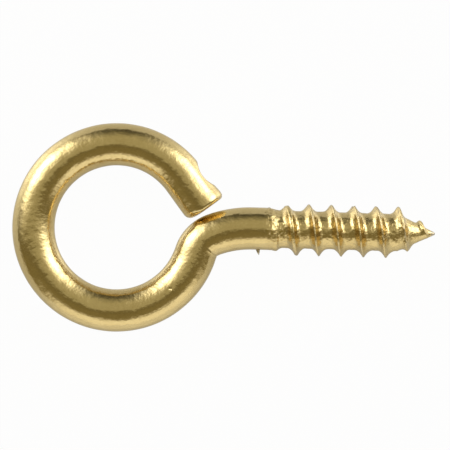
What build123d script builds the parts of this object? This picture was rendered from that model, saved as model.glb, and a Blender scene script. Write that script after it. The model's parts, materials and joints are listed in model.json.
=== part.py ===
"""Screw eye: one length of round wire, bent to an open eye, with a wood-screw thread rolled on its shank.

The part lies flat. Its frame has +X along the shank towards the point, +Z square to the eye, and its
origin at the centre of the eye. All sizes are in millimetres.
"""

import os
from math import acos, asin, atan2, ceil, cos, degrees, hypot, pi, radians, sin, sqrt

from build123d import *

# Wire and eye
overall_length = 30.0  # far side of the eye to the point
wire_diameter = 3.0
eye_inside_diameter = 8.8

# Free end of the wire, which leaves the eye's circle and runs on straight to a sheared end
tail_angle = 37.5  # degrees round the eye from the shank, where the straight starts
tail_gap = 0.37  # between the sheared end and the neck
tail_edge_radius = 0.25
nip_depth = 0.3  # dent that the bending tool leaves on the outside of the tail
nip_tool_radius = 1.9
nip_distance = 1.9  # from the sheared end

# Neck, which turns the wire out of the eye into the shank
shank_offset = 0.2  # of the shank's axis from the eye's centre, across the shank
neck_inner_radius = 0.55  # inside the sharp bend
lead_radius = 7.4  # of the gentle bend between the sharp one and the shank
lead_angle = 22.0
plain_length = 0.8  # of the straight shank between the gentle bend and the thread

# Rolled thread and gimlet point
threads_per_inch = 16
crest_diameter = 3.7
crest_land = 0.12
root_diameter = 2.65
ridge_base_width = 0.8
shoulder_start = 0.25  # from the start of the thread to the taper down to the root
shoulder_length = 0.8
point_length = 2.65
point_nose_radius = 0.12
point_bare_length = 0.4  # of the point past the end of the thread
point_ridge_height = 0.33  # of the thread above the point's cone
point_ridge_land = 0.08
run_out_turns = 1.5  # over which the crest rises from the shank
point_blend_turns = 0.5  # over which the crest comes down to its height on the point
nose_fade_turns = 0.5  # over which it sinks into the point
nose_base_width = 0.3
sections_per_turn = 12
ridge_sink = 0.2  # how far the ridge's base lies under the surface that it stands on
ridge_least_radius = 0.03

wire_radius = wire_diameter / 2
eye_radius = (eye_inside_diameter + wire_diameter) / 2
neck_radius = neck_inner_radius + wire_radius
root_radius = root_diameter / 2
crest_radius = crest_diameter / 2
pitch = 25.4 / threads_per_inch
shank_axis = Axis((0, shank_offset, 0), (1, 0, 0))

# The wire leaves the eye where the two bends bring it out level with the shank's axis.
lead_rise = lead_radius * (1 - cos(radians(lead_angle)))
neck_rise = neck_radius * cos(radians(lead_angle))
exit_angle = degrees(asin((shank_offset - neck_rise - lead_rise) / (eye_radius + neck_radius)))

# The straight stops at the gap, short of the outside of the neck's sharp bend.
neck_reach = (eye_radius + neck_radius) * sin(radians(tail_angle - exit_angle))
neck_aside = (eye_radius + neck_radius) * cos(radians(tail_angle - exit_angle))
end_aside = max(0, eye_inside_diameter / 2 + tail_edge_radius - neck_aside)
tail_length = neck_reach - sqrt((neck_radius + wire_radius + tail_gap) ** 2 - end_aside**2)

# The thread fills the shank from the plain length to the point.
neck_x = (eye_radius + neck_radius) * cos(radians(exit_angle))
lead_x = neck_x + (lead_radius - neck_radius) * sin(radians(lead_angle))
point_x = overall_length - eye_radius - wire_radius
thread_x = lead_x + plain_length
shoulder_x = thread_x + shoulder_start
cone_x = point_x - point_length
ridge_turns = (point_x - point_bare_length - thread_x) / pitch

# The cone runs tangent on to the round nose.
nose_x = point_x - point_nose_radius
cone_run = nose_x - cone_x
cone_slope = acos(point_nose_radius / hypot(cone_run, root_radius)) - atan2(cone_run, root_radius)


def mix(start, end, share):
    """Value that lies that share of the way from start to end."""
    return start + (end - start) * min(1, max(0, share))


def core_radius(x):
    """Radius of the shank, shoulder, root or point at x, without the thread."""
    if x < cone_x:
        return mix(wire_radius, root_radius, (x - shoulder_x) / shoulder_length)
    return mix(root_radius, 0, (x - cone_x) / point_length)


def ridge_section(turn):
    """Base radius, base width, crest radius and crest width of the thread after that many turns."""
    x = thread_x + turn * pitch
    core = core_radius(x)
    sunk = core - ridge_sink / 2
    rise = turn / run_out_turns
    fade = (ridge_turns - turn) / nose_fade_turns
    blend = (x - cone_x) / (point_blend_turns * pitch)
    rising = mix(wire_radius - ridge_sink / 2, crest_radius, rise)
    on_point = mix(sunk, core + point_ridge_height, fade)
    base = max(core - ridge_sink, ridge_least_radius)
    crest = max(min(rising, mix(crest_radius, on_point, blend)), base + ridge_least_radius)
    base_width = mix(nose_base_width, ridge_base_width, fade)
    return base, base_width, crest, mix(crest_land, point_ridge_land, blend)


# The wire, swept along tangent lines and arcs from its free end to the start of the thread
with BuildLine() as wire_path:
    tail = Line(
        Vector(eye_radius, -tail_length).rotate(Axis.Z, tail_angle),
        Vector(eye_radius, 0).rotate(Axis.Z, tail_angle),
    )
    eye = JernArc(tail @ 1, tail % 1, eye_radius, 360 - tail_angle + exit_angle)
    neck = JernArc(eye @ 1, eye % 1, neck_radius, lead_angle - 90 - exit_angle)
    lead = JernArc(neck @ 1, neck % 1, lead_radius, -lead_angle)
    Line(lead @ 1, (shoulder_x, shank_offset))

with BuildPart() as screw_eye:
    with BuildSketch(Plane(origin=tail @ 0, z_dir=tail % 0)):
        Circle(wire_radius)
    sweep(path=wire_path.line)
    sheared_end = screw_eye.faces().filter_by(GeomType.PLANE).sort_by_distance(tail @ 0)[0]
    fillet(sheared_end.edges(), tail_edge_radius)

    # The nip is the print of a round tool that stood square to the eye.
    nip_reach = eye_radius + wire_radius - nip_depth + nip_tool_radius
    with Locations(Vector(nip_reach, nip_distance - tail_length).rotate(Axis.Z, tail_angle)):
        Cylinder(nip_tool_radius, 2 * wire_diameter, mode=Mode.SUBTRACT)

    # Shoulder, root and gimlet point with its round nose, turned about the shank's axis
    with BuildSketch():
        with BuildLine():
            nose_start = (
                nose_x + point_nose_radius * sin(cone_slope),
                shank_offset + point_nose_radius * cos(cone_slope),
            )
            Polyline(
                (point_x, shank_offset),
                (shoulder_x, shank_offset),
                (shoulder_x, shank_offset + wire_radius),
                (shoulder_x + shoulder_length, shank_offset + root_radius),
                (cone_x, shank_offset + root_radius),
                nose_start,
            )
            RadiusArc(nose_start, (point_x, shank_offset), point_nose_radius)
        make_face()
    revolve(axis=shank_axis)

    # The thread's ridge, lofted one turn at a time through its section at steps round the helix
    for start in range(ceil(ridge_turns)):
        turns = min(1, ridge_turns - start)
        steps = ceil(turns * sections_per_turn)
        for step in range(steps + 1):
            turn = start + turns * step / steps
            around = 2 * pi * turn
            base, base_width, crest, crest_width = ridge_section(turn)
            across = Plane(
                origin=(thread_x + turn * pitch, shank_offset, 0),
                x_dir=(1, 0, 0),
                z_dir=(0, -sin(around), cos(around)),
            )
            with BuildSketch(across):
                Polygon(
                    (-base_width / 2, base),
                    (base_width / 2, base),
                    (crest_width / 2, crest),
                    (-crest_width / 2, crest),
                    align=None,
                )
        loft()

screw_eye.part.label = "screw_eye"
os.makedirs("parts", exist_ok=True)
export_step(screw_eye.part, "parts/screw_eye.step")
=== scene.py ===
import json
import math

import bpy
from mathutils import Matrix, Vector


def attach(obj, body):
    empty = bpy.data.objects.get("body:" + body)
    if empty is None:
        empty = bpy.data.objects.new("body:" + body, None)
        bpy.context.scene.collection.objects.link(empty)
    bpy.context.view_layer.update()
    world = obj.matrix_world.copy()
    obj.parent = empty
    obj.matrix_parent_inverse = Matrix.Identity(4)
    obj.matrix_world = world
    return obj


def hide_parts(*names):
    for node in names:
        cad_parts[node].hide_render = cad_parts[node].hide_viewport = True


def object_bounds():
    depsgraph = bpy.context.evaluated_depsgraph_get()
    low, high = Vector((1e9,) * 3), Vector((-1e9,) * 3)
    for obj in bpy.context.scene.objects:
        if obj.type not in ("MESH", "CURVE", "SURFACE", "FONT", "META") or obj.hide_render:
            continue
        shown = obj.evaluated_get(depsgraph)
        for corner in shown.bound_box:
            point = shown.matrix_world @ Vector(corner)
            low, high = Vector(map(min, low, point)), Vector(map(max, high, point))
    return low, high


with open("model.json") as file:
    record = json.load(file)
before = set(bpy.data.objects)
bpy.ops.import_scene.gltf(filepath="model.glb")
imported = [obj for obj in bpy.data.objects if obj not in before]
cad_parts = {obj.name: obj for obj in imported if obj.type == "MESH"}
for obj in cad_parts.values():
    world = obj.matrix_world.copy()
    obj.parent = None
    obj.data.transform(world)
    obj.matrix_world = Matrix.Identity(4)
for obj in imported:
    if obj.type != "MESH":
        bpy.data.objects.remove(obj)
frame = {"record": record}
cad_low, cad_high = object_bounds()
MM = 0.001

# ---------------------------------------------------------------------------------------------------
# The wire's middle line. One length of steel wire is sheared off and bent round a pin to an open eye.
# A sharp bend and a gentle one then bring it out level with the middle of the eye, to make the shank.
# ---------------------------------------------------------------------------------------------------
mounts = {mount["name"]: mount for mount in frame["record"]["mounts"]}
eye_inside = mounts["eye"]["dims"]["r_mm"] * MM
wire_radius = (-cad_low.x - eye_inside) / 2
eye_radius = eye_inside + wire_radius
thread_x, shank_y, _ = mounts["thread"]["pos_m"]
point_x = cad_high.x

tail_angle = math.radians(37.5)  # round the eye from the shank, where the free end runs straight
tail_gap = 0.18 * MM  # between the sheared end and the neck, before the end's inner side is set back
neck_radius = wire_radius + 0.55 * MM  # of the sharp bend, at the middle of the wire
lead_radius = 7.4 * MM  # of the gentle bend
lead_angle = math.radians(22)

neck_reach = eye_radius + neck_radius
neck_rise = neck_radius * math.cos(lead_angle)
lead_rise = lead_radius * (1 - math.cos(lead_angle))
lead_run = (lead_radius - neck_radius) * math.sin(lead_angle)
exit_angle = math.asin((shank_y - neck_rise - lead_rise) / neck_reach)
tail_length = neck_reach * math.sin(tail_angle - exit_angle) - neck_radius - wire_radius - tail_gap
plain_length = thread_x - neck_reach * math.cos(exit_angle) - lead_run
eye_turn = 2 * math.pi - tail_angle + exit_angle
neck_turn = math.pi / 2 + exit_angle - lead_angle

# Each run from the free end: its length, and how far it turns to the left
runs = [
    (tail_length, 0),
    (eye_radius * eye_turn, eye_turn),
    (neck_radius * neck_turn, -neck_turn),
    (lead_radius * lead_angle, -lead_angle),
    (plain_length, 0),
]
wire_length = sum(run for run, bend in runs)
neck_middle = tail_length + eye_radius * eye_turn + neck_radius * neck_turn / 2
stride = 0.05 * MM

outwards = Vector((math.cos(tail_angle), math.sin(tail_angle), 0))
heading = tail_angle + math.pi / 2
tail_way = Vector((math.cos(heading), math.sin(heading), 0))
middle_line = [outwards * eye_radius - tail_way * tail_length]
for run, bend in runs:
    steps = math.ceil(run / stride)
    for step in range(steps):
        heading += bend / steps / 2
        way = Vector((math.cos(heading), math.sin(heading), 0))
        middle_line.append(middle_line[-1] + way * (run / steps))
        heading += bend / steps / 2

line_mesh = bpy.data.meshes.new("middle_line")
line_mesh.from_pydata(middle_line, [(i, i + 1) for i in range(len(middle_line) - 1)], [])
screw_eye = bpy.data.objects.new("screw_eye_wire", line_mesh)
bpy.context.scene.collection.objects.link(screw_eye)

# ---------------------------------------------------------------------------------------------------
# The wire's skin, one surface from the sheared end to the gimlet point. The shear rounds the end, the
# bending tool nips its outside, and thread-rolling dies squeeze the root down and the crest up.
# ---------------------------------------------------------------------------------------------------
class Value:
    """A socket of a node tree. Arithmetic on it adds Math nodes to its tree."""

    def __init__(self, tree, socket=None):
        self.tree = tree
        self.socket = socket

    def node(self, kind, settings, inputs, output=0):
        """Adds a node: its settings are set first, then the values or links of its sockets."""
        made = self.tree.nodes.new(kind)
        for name, setting in settings.items():
            setattr(made, name, setting)
        for name, value in inputs.items():
            if isinstance(value, Value):
                self.tree.links.new(value.socket, made.inputs[name])
            else:
                made.inputs[name].default_value = value
        return Value(self.tree, made.outputs[output])

    def maths(self, operation, *others):
        inputs = dict(enumerate((self, *others)))
        return self.node("ShaderNodeMath", {"operation": operation}, inputs)

    def __add__(self, other):
        return self.maths("ADD", other)

    def __sub__(self, other):
        return self.maths("SUBTRACT", other)

    def __rsub__(self, other):
        return (self * -1) + other

    def __mul__(self, other):
        return self.maths("MULTIPLY", other)

    def __truediv__(self, other):
        return self.maths("DIVIDE", other)

    __radd__ = __add__
    __rmul__ = __mul__

    def share(self, start, end):
        """0 up to start, 1 from end, and even between them."""
        return ((self - start) / (end - start)).maths("MAXIMUM", 0).maths("MINIMUM", 1)

    def ease(self, start, end):
        """As share, but it starts and ends gently."""
        even = self.share(start, end)
        return even * even * (3 - 2 * even)

    def hump(self, place, width):
        """1 at place, and nearly 0 from two widths away."""
        away = (self - place) / width
        return (away * away * -1).maths("EXPONENT")

    def mix(self, start, end):
        """start where this is 0, and end where it is 1."""
        return self * (end - start) + start

    def vector(self, x, y, z):
        return self.node("ShaderNodeCombineXYZ", {}, {0: x, 1: y, 2: z})

    def parts(self):
        """X, Y and Z of a vector."""
        return [self.node("ShaderNodeSeparateXYZ", {}, {0: self}, axis) for axis in range(3)]

    def vectors(self, operation, *others):
        """A vector made from this one and others by a Vector Math node."""
        inputs = dict(enumerate((self, *others)))
        return self.node("ShaderNodeVectorMath", {"operation": operation}, inputs)

    def scaled(self, amount):
        inputs = {0: self, "Scale": amount}
        return self.node("ShaderNodeVectorMath", {"operation": "SCALE"}, inputs)

    def length(self):
        return self.node("ShaderNodeVectorMath", {"operation": "LENGTH"}, {0: self}, "Value")

    def noise(self, scale, seed, detail=2.0):
        """Smooth noise about 0 at this vector, with lumps about 1/scale across."""
        inputs = {"Vector": self, "W": seed, "Scale": scale, "Detail": detail}
        return self.node("ShaderNodeTexNoise", {"noise_dimensions": "4D"}, inputs) - 0.5


sizes = {
    "Wire radius": wire_radius,
    "Wire length": wire_length,
    "Eye radius": eye_radius,
    "End rounding": 0.28 * MM,
    "Nip depth": 0.3 * MM,
    "Nip tool radius": 1.9 * MM,
    "Nip from end": 2.09 * MM,
    "Neck": neck_middle,
    "Shank offset": shank_y,
    "Thread start": thread_x,
    "Point": point_x,
    "Pitch": 25.4 / 16 * MM,
    "Root radius": 1.325 * MM,
    "Crest radius": cad_high.z - 0.01 * MM,
    "Crest land": 0.07 * MM,
    "Ridge base": 1.3 * MM,
    "Point length": 2.65 * MM,
    "Point ridge": 0.33 * MM,
    "Seed": 4.0,
}
set_back_size = 0.3 * MM  # of the sheared end's inner side
wobble_size = 0.03 * MM  # of the wire's unroundness
squeeze_depth = 0.02 * MM  # all round the wire in the sharp bend
crease_depth = 0.05 * MM  # inside the sharp bend
flare_size = 0.06 * MM  # of the sheared end's outside
nip_softness = 0.12 * MM  # of the nip's edges
dent_size = 0.28 * MM  # of the dents at the thread's start
lump_size = 0.1 * MM  # of the lumps in the thread's root
early_turns = 0.5  # of the thread's sheet before the thread's start
late_turns = 1.0  # of it past the point
columns = 96  # round the wire
cap_rows = 10  # across the sheared end
rounding_rows = 8
wire_rows = 440
turn_rows = 32  # for each turn of the thread

skin = bpy.data.node_groups.new("screw_eye_skin", "GeometryNodeTree")
skin.is_modifier = True
skin.interface.new_socket("Middle line", in_out="INPUT", socket_type="NodeSocketGeometry")
skin.interface.new_socket("Skin", in_out="OUTPUT", socket_type="NodeSocketGeometry")
for name in sizes:
    skin.interface.new_socket(name, in_out="INPUT", socket_type="NodeSocketFloat")
skin.interface.new_socket("Finish", in_out="INPUT", socket_type="NodeSocketMaterial")
make = Value(skin)
given = {socket.name: Value(skin, socket) for socket in skin.nodes.new("NodeGroupInput").outputs}
radius = given["Wire radius"]
seed = given["Seed"]
pitch = given["Pitch"]


def sheet(rows):
    """A flat sheet, and its row number and its angle round the wire as fields."""
    inputs = {"Size X": rows, "Size Y": columns, "Vertices X": rows + 1, "Vertices Y": columns + 1}
    flat = make.node("GeometryNodeMeshGrid", {}, inputs)
    x, y, _ = make.node("GeometryNodeInputPosition", {}, {}).parts()
    return flat, x + rows / 2, (y + columns / 2) * (-2 * math.pi / columns)


def placed(flat, position, unbent, wear):
    """The sheet rolled up into place. It keeps where each point was on the straight wire, and how far
    the plating there has worn, for the finish to read. It has to store them while it is still flat."""
    for name, kind, value in (("unbent", "FLOAT_VECTOR", unbent), ("wear", "FLOAT", wear)):
        settings = {"data_type": kind, "domain": "POINT"}
        inputs = {"Geometry": flat, "Name": name, "Value": value}
        flat = make.node("GeometryNodeStoreNamedAttribute", settings, inputs)
    return make.node("GeometryNodeSetPosition", {}, {"Geometry": flat, "Position": position})


def unevenness(unbent, side, rise):
    """How far the wire stands proud of round: it is never quite round, and the dies' first touch
    leaves dents in it where the thread begins."""
    wobble = unbent.noise(0.4 / MM, seed) * wobble_size
    past_start = unbent.parts()[0] - given["Wire length"]
    touched = past_start.ease(-0.2 * MM, 0.4 * MM) * (1 - past_start.ease(1.2 * MM, 1.9 * MM))
    dents = unbent.noise(2.4 / MM, seed + 3, 3) * touched * (side + rise).ease(0.2, 1.0)
    return wobble + dents * dent_size


# Bent wire: across the sheared end, over its rounding, and along the middle line to the thread
flat, row, around = sheet(cap_rows + rounding_rows + wire_rows)
side = around.maths("COSINE")  # 1 inside the eye and on the shank's +Y side
rise = around.maths("SINE")
rounding = given["End rounding"]
across = row.share(0, cap_rows)
corner = row.share(cap_rows, cap_rows + rounding_rows) * (math.pi / 2)
down = row.share(cap_rows + rounding_rows, cap_rows + rounding_rows + wire_rows)
out = across * (radius - rounding) + rounding * corner.maths("SINE")
along = rounding * (1 - corner.maths("COSINE")) + down * (given["Wire length"] - rounding)
set_back = side.ease(0.1, 1) * (out / radius).maths("POWER", 4) * (1 - down.share(0, 0.04))
along = along + set_back * set_back_size
unbent = make.vector(along, side * out, rise * out)

curve = make.node("GeometryNodeMeshToCurve", {}, {"Mesh": given["Middle line"]})
settings = {"mode": "LENGTH", "data_type": "FLOAT"}
inputs = {"Curves": curve, "Length": along}
middle = make.node("GeometryNodeSampleCurve", settings, inputs, "Position")
tangent = make.node("GeometryNodeSampleCurve", settings, inputs, "Tangent")
inward = make.vector(0, 0, 1).vectors("CROSS_PRODUCT", tangent).vectors("NORMALIZE")

# The neck is squeezed and creased inside its sharp bend, and the shear flares the end.
outside = (side * -1).ease(0.1, 0.9)
squeeze = along.hump(given["Neck"], 0.9 * MM) * -squeeze_depth
crease = along.hump(given["Neck"], 0.1 * MM) * outside * -crease_depth
flare = along.hump(0.45 * MM, 0.4 * MM) * outside * flare_size
changes = squeeze + crease + flare + unevenness(unbent, side, rise)
skinned = out + changes * (out / radius)
position = middle.vectors("ADD", inward.scaled(side * skinned))
position = position.vectors("ADD", make.vector(0, 0, rise * skinned))

# The nip is the print of a round tool that stood square to the eye.
tool_out = given["Eye radius"] + radius - given["Nip depth"] + given["Nip tool radius"]
tool_down = given["Nip from end"] - tail_length
tool = make.vector(*(tool_out * outwards[axis] + tool_down * tail_way[axis] for axis in range(3)))
off_tool = position.vectors("SUBTRACT", tool).vectors("MULTIPLY", (1, 1, 0))
tool_distance = off_tool.length()
pushed = (given["Nip tool radius"] - tool_distance).maths("SMOOTH_MAX", 0, nip_softness)
pushed = pushed * (1 - tool_distance.share(2.1 * MM, 2.4 * MM))
push = off_tool.vectors("NORMALIZE").scaled(pushed)
nipped = pushed.share(0.02 * MM, 0.25 * MM)
wire_skin = placed(flat, position.vectors("ADD", push), unbent, nipped * 0.35)

# Rolled thread: rows run along the helix, so that one of them is the crest
turns = (point_x - thread_x) / sizes["Pitch"] + early_turns + late_turns
flat, row, around = sheet(math.ceil(turns * turn_rows))
side = around.maths("COSINE")
rise = around.maths("SINE")
turn = row / turn_rows - early_turns
turned = (turn + around / (2 * math.pi)).maths("SMOOTH_MAX", 0, 0.5)
x = (given["Thread start"] + pitch * turned).maths("MINIMUM", given["Point"])
in_thread = x - given["Thread start"]
to_point = given["Point"] - x
off_crest = ((turn + 0.5).maths("FRACT") - 0.5).maths("ABSOLUTE") * pitch

# The shank steps down to the root, early on its +Y side and late and steeply on the other. The point
# is a cone with a blunt nose.
late = (side * -1).ease(-0.3, 0.8)
step_start = late.mix(0.25 * MM, 0.9 * MM)
step_end = late.mix(1.2 * MM, 1.15 * MM)
core = in_thread.ease(step_start, step_end).mix(radius, given["Root radius"])
blunting = 0.16 * MM
cone = given["Root radius"] * (to_point + blunting) / (given["Point length"] + blunting)
nose = (to_point * blunting * 2).maths("SQRT") + to_point / 2
core = core.maths("MINIMUM", cone).maths("MINIMUM", nose)

on_point = in_thread.share(
    given["Point"] - given["Point length"] - given["Thread start"],
    given["Point"] - given["Point length"] - given["Thread start"] + pitch / 2,
)
land = in_thread.ease(pitch, pitch * 2.2).mix(given["Crest land"] * 3, given["Crest land"])
rising = in_thread.share(0, pitch * 1.5).mix(radius - 0.1 * MM, given["Crest radius"])
point_crest = core + to_point.share(0.35 * MM, 0.9 * MM).mix(-0.05 * MM, given["Point ridge"])
crest = rising.maths("MINIMUM", on_point.mix(given["Crest radius"], point_crest))
half_base = given["Ridge base"] * on_point.mix(0.5, 0.35)
flank = 1 - off_crest.share(land / 2, half_base)
ridge = (crest - core).maths("MAXIMUM", 0) * flank.maths("POWER", 2.2)

# Rolling leaves the root lumpy, and knocks leave nicks along the crest.
unbent = make.vector(in_thread + given["Wire length"], side * core, rise * core)
lumps = unbent.noise(2.8 / MM, seed + 5, 3) * lump_size * in_thread.ease(0, 0.6 * MM)
nicks = make.vector(x, side * radius, rise * radius).noise(1.6 / MM, seed + 9, 3)
nicks = 1 - nicks.ease(0.05, 0.3) * 0.35
lumps = lumps + unevenness(unbent, side, rise)
out = core + ridge * nicks + lumps * (core / radius)
position = make.vector(x, given["Shank offset"] + side * out, rise * out)
worn_crest = flank.ease(0.62, 0.95) * (ridge / (0.5 * MM)).share(0, 1)
worn_point = 1 - to_point.ease(0.15 * MM, 0.55 * MM)
thread_skin = placed(flat, position, unbent, worn_crest.maths("MAXIMUM", worn_point * 1.6))

join = skin.nodes.new("GeometryNodeJoinGeometry")
for part in (thread_skin, wire_skin):
    skin.links.new(part.socket, join.inputs["Geometry"])
whole = Value(skin, join.outputs["Geometry"])
whole = make.node("GeometryNodeMergeByDistance", {}, {"Geometry": whole, "Distance": 0.001 * MM})
whole = make.node("GeometryNodeSetShadeSmooth", {}, {"Geometry": whole, "Shade Smooth": True})
whole = make.node("GeometryNodeRealizeInstances", {}, {"Geometry": whole})
inputs = {"Geometry": whole, "Material": given["Finish"]}
whole = make.node("GeometryNodeSetMaterial", {}, inputs)
skin.links.new(whole.socket, skin.nodes.new("NodeGroupOutput").inputs["Skin"])

# ---------------------------------------------------------------------------------------------------
# The finish: bright brass, electro-plated on drawn steel wire. It keeps the wire's drawing lines and a
# faint orange peel, and is thin and grey on the crests and the point. Its colour is also made darker
# over the whole thread, as painted shade for the dark bands in the thread's roots.
# ---------------------------------------------------------------------------------------------------
brass = (0.76, 0.61, 0.305, 1)
# a darker brass, for the plating's uneven tone and also for painted shade on the thread
darker_brass_and_thread_shade = (0.64, 0.49, 0.22, 1)
worn_steel = (0.50, 0.47, 0.42, 1)
bump_size = 0.075 * MM

finish = bpy.data.materials.new("plated_brass")
finish.use_nodes = True
shader_tree = finish.node_tree
shader = shader_tree.nodes["Principled BSDF"]
paint = Value(shader_tree)
settings = {"attribute_type": "GEOMETRY", "attribute_name": "unbent"}
straight = paint.node("ShaderNodeAttribute", settings, {}, "Vector")
settings = {"attribute_type": "GEOMETRY", "attribute_name": "wear"}
wear = paint.node("ShaderNodeAttribute", settings, {}, "Fac")

nick_along = tail_length + eye_radius * math.radians(275.7)  # a knock on the front of the eye
nick_width = 0.09 * MM
drawn = straight.vectors("MULTIPLY", (0.06, 1, 1)).noise(8 / MM, 1.0, 3)
peel = straight.noise(1.6 / MM, 2.0, 2)
grain = straight.noise(14 / MM, 3.0, 2)
cloud = straight.noise(0.5 / MM, 5.0, 4)
pits = straight.noise(5 / MM, 7.0, 3)
rolled = straight.parts()[0].ease(wire_length, wire_length + 0.5 * MM)
worn = (wear + cloud * 0.6 + grain * 0.8).ease(0.8, 1.35)

settings = {"data_type": "RGBA"}
# Darker brass comes in at random with the clouds, drawing lines and pits, which is the plating's own
# tone. The rolled share darkens the whole thread, which is painted shade for the dark bands in its
# roots.
darker_tone_and_thread_shade = (cloud + drawn * 0.5 + pits + rolled * 0.2 + 0.35).share(0, 1)
colour = paint.node("ShaderNodeMix", settings, {"Factor": darker_tone_and_thread_shade, 6: brass, 7: darker_brass_and_thread_shade}, 2)
colour = paint.node("ShaderNodeMix", settings, {"Factor": worn * 0.7, 6: colour, 7: worn_steel}, 2)
roughness = 0.17 + drawn * 0.12 + cloud * 0.08 + worn * 0.2 + rolled * 0.05
nick_off = straight.vectors("SUBTRACT", (nick_along, 0.1 * MM, wire_radius)).length()
nick = nick_off.hump(0, nick_width)
height = peel * 0.6 + drawn * 0.07 + grain * 0.05 + pits * rolled.mix(0.14, 0.62) - nick * 0.8
inputs = {"Strength": 1.0, "Distance": bump_size, "Height": height}
bumped = paint.node("ShaderNodeBump", {}, inputs)
shader.inputs["Metallic"].default_value = 1
shader_tree.links.new(colour.socket, shader.inputs["Base Color"])
shader_tree.links.new(roughness.socket, shader.inputs["Roughness"])
shader_tree.links.new(bumped.socket, shader.inputs["Normal"])

modifier = screw_eye.modifiers.new("skin", "NODES")
modifier.node_group = skin
for item in skin.interface.items_tree:
    if item.name in sizes:
        modifier[item.identifier] = sizes[item.name]
    if item.name == "Finish":
        modifier[item.identifier] = finish
evaluated = screw_eye.evaluated_get(bpy.context.evaluated_depsgraph_get())
skin_mesh = bpy.data.meshes.new_from_object(evaluated)
screw_eye.modifiers.remove(modifier)
screw_eye.data = skin_mesh

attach(screw_eye, "root")
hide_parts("screw_eye")

# ---------------------------------------------------------------------------------------------------
# The burr: a sliver of steel that the end of the dies raised under the shank, and left there. Its foot
# is sunk in the shank, and the plating on it is thin and grey.
# ---------------------------------------------------------------------------------------------------
burr_x = thread_x - 0.37 * MM
burr_reach = 0.38 * MM
burr_lean = 0.1 * MM
burr_sunk = 0.1 * MM
burr_waist = 0.55  # share of its reach where it starts to come to a point
burr_waist_width = 0.5  # of its foot's
burr_plating_worn = 1.3
burr_foot = [(0.17, 0), (0.08, 0.18), (-0.12, 0.13), (-0.18, 0), (-0.12, -0.13), (0.08, -0.18)]
shank_low = shank_y - wire_radius

burr_corners = []
for up, narrowed in ((-burr_sunk, 1), (burr_reach * burr_waist, burr_waist_width)):
    lean = burr_x + burr_lean * (1 - narrowed)
    burr_corners += [
        (lean + x * narrowed * MM, shank_low - up, z * narrowed * MM) for x, z in burr_foot
    ]
burr_corners.append((burr_x + burr_lean, shank_low - burr_reach, 0))
around_burr = len(burr_foot)
burr_faces = [tuple(reversed(range(around_burr)))]
for i in range(around_burr):
    j = (i + 1) % around_burr
    burr_faces.append((i, j, around_burr + j, around_burr + i))
    burr_faces.append((around_burr + i, around_burr + j, 2 * around_burr))

burr_mesh = bpy.data.meshes.new("burr")
burr_mesh.from_pydata(burr_corners, [], burr_faces)
burr_mesh.shade_smooth()
burr_mesh.materials.append(finish)
burr_wear = burr_mesh.attributes.new("wear", "FLOAT", "POINT")
burr_wear.data.foreach_set("value", [burr_plating_worn] * len(burr_corners))
burr = bpy.data.objects.new("burr", burr_mesh)
bpy.context.scene.collection.objects.link(burr)
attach(burr, "root")

# ---------------------------------------------------------------------------------------------------
# The studio: a pale floor with a slight polish, in a warm dim room with two soft boxes behind the eye
# and a pale wall in front of it. The floor looks white, and its polish shows the room again.
# ---------------------------------------------------------------------------------------------------
floor_reach = 1.5
floor_mesh = bpy.data.meshes.new("floor")
floor_ways = ((-1, -1), (1, -1), (1, 1), (-1, 1))
floor_corners = [(x * floor_reach, y * floor_reach, cad_low.z) for x, y in floor_ways]
floor_mesh.from_pydata(floor_corners, [], [(0, 1, 2, 3)])
floor = bpy.data.objects.new("floor", floor_mesh)
bpy.context.scene.collection.objects.link(floor)
floor_paint = bpy.data.materials.new("pale_floor")
floor_paint.use_nodes = True
floor_tree = floor_paint.node_tree
floor_tree.nodes.clear()
lay = Value(floor_tree)
pale = lay.node("ShaderNodeBsdfDiffuse", {}, {"Color": (0.8, 0.8, 0.8, 1)})
polish = lay.node("ShaderNodeBsdfGlossy", {}, {"Color": (0.95, 0.95, 0.95, 1), "Roughness": 0.1})
pale = lay.node("ShaderNodeMixShader", {}, {0: 0.4, 1: pale, 2: polish})
white = lay.node("ShaderNodeEmission", {}, {"Color": (1, 1, 1, 1), "Strength": 1.0})
seen = lay.node("ShaderNodeLightPath", {}, {}, "Is Camera Ray")
mirrored = lay.node("ShaderNodeLightPath", {}, {}, "Is Glossy Ray")
lit = seen * 0.97 + mirrored * 0.28
mixed = lay.node("ShaderNodeMixShader", {}, {0: lit, 1: pale, 2: white})
output = floor_tree.nodes.new("ShaderNodeOutputMaterial")
floor_tree.links.new(mixed.socket, output.inputs["Surface"])
floor.data.materials.append(floor_paint)

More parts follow.
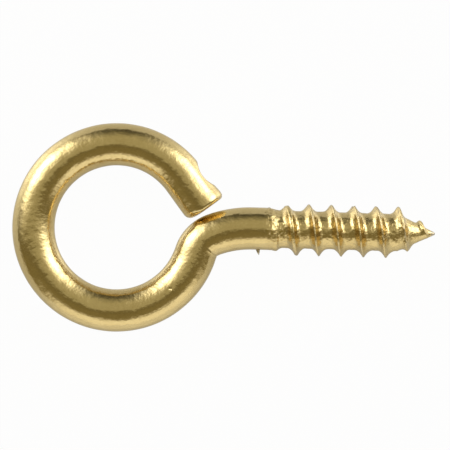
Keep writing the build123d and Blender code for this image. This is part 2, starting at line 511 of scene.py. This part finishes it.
# Tilt is measured from straight up, and the two bearings run clockwise from behind and from in front.
world = bpy.data.worlds.new("dim_room")
bpy.context.scene.world = world
world.use_nodes = True
room_tree = world.node_tree
room = Value(room_tree)
way_x, way_y, way_z = room.node("ShaderNodeTexCoord", {}, {}, "Generated").parts()
to_degrees = 180 / math.pi
tilt = way_z.maths("ARCCOSINE") * to_degrees
from_back = way_x.maths("ARCTAN2", way_y) * to_degrees
from_front = way_x.maths("ARCTAN2", way_y * -1) * to_degrees
left_box = from_back.hump(-55, 19) * tilt.hump(66, 24) * 4.4
right_box = from_back.hump(57, 20) * tilt.hump(67, 26) * 4.2
wall = from_front.ease(-54, -30) * (1 - from_front.ease(44, 72)) * tilt.ease(46, 66) * 0.86
near_side = (way_y * -1).ease(0, 0.16)
far_dim = tilt.ease(56, 82) * 0.16 + from_back.hump(0, 28) * tilt.ease(40, 60) * 0.23
far_dim = far_dim + from_back.hump(-95, 24) * tilt.ease(58, 80) * 0.14
far_glow = (1 - near_side) * (0.46 - far_dim)
near_glow = near_side * (0.18 + (way_y * -1).ease(0.16, 0.4) * 0.06)
warm_far = room.vector(1, 0.93, 0.63).scaled(far_glow)
warm_near = room.vector(1, 0.84, 0.40).scaled(near_glow)
lamps = room.vector(1, 1, 1).scaled(left_box + right_box + wall)
light = warm_far.vectors("ADD", warm_near).vectors("ADD", lamps)
glow = room.node("ShaderNodeBackground", {}, {"Color": light})
room_tree.links.new(glow.socket, room_tree.nodes["World Output"].inputs["Surface"])

# The camera looks straight down through a long lens, turned a little so that the shank falls away.
frame_share = 1.065  # width of the picture, as a share of the overall length
camera_turn = math.radians(1.66)
scene = bpy.context.scene
scene.view_settings.view_transform = "Standard"
lens = bpy.data.cameras.new("camera")
lens.lens = 200
lens.sensor_width = 36
camera = bpy.data.objects.new("camera", lens)
overall = cad_high.x - cad_low.x
camera_height = overall * frame_share * lens.lens / lens.sensor_width
middle_x = (cad_high.x + cad_low.x) / 2
camera.location = (middle_x + 0.003 * overall, 0.013 * overall, camera_height)
camera.rotation_euler = (0, 0, camera_turn)
scene.collection.objects.link(camera)
scene.camera = camera
